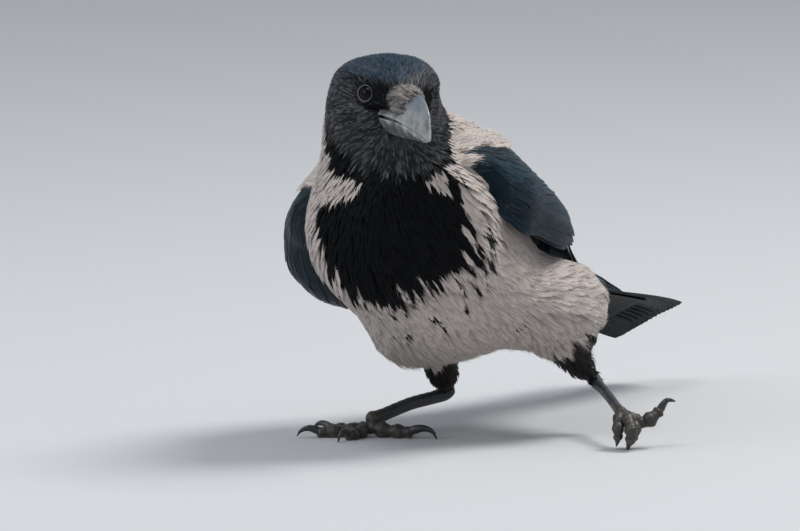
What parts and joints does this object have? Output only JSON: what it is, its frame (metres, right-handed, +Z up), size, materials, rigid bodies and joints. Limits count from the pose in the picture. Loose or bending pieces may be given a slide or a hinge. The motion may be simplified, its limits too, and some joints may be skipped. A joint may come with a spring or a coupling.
{
  "type": "hooded crow",
  "caption": "Life-size still model of a grey and black hooded crow in mid step, head turned to its left, wings folded.",
  "frame": {"origin": "on the floor under the middle of the bird's box", "axes": "+Z up, the bird heads along -Y with its tail towards +Y, and its left side is towards +X"},
  "size_m": [0.212, 0.3996, 0.221],
  "materials": {
    "black_plumage": "soft black feathers with a faint blue gloss",
    "grey_plumage": "loose pinkish-grey feathers with fine dark shafts",
    "flight_feathers": "smooth black vanes with a blue-green gloss",
    "bill": "polished slate-grey horn",
    "claw": "smooth black horn",
    "leg_scales": "dark scaled skin with paler toe pads",
    "eye": "wet dark brown eye"
  },
  "bodies": {
    "root": {"head": "black_plumage", "neck": "black_plumage", "trunk": "grey_plumage", "wing_left": "flight_feathers", "primaries_left": "flight_feathers", "eye_left": "eye", "wing_right": "flight_feathers", "primaries_right": "flight_feathers", "eye_right": "eye", "tail": "flight_feathers", "bill_upper": "bill", "bill_lower": "bill", "thigh_right": "black_plumage", "tarsus_right": "leg_scales", "toe_inner_right": "leg_scales", "claw_inner_right": "claw", "toe_middle_right": "leg_scales", "claw_middle_right": "claw", "toe_outer_right": "leg_scales", "claw_outer_right": "claw", "toe_back_right": "leg_scales", "claw_back_right": "claw", "thigh_left": "black_plumage", "tarsus_left": "leg_scales", "toe_inner_left": "leg_scales", "claw_inner_left": "claw", "toe_middle_left": "leg_scales", "claw_middle_left": "claw", "toe_outer_left": "leg_scales", "claw_outer_left": "claw", "toe_back_left": "leg_scales", "claw_back_left": "claw"}
  },
  "joints": []
}
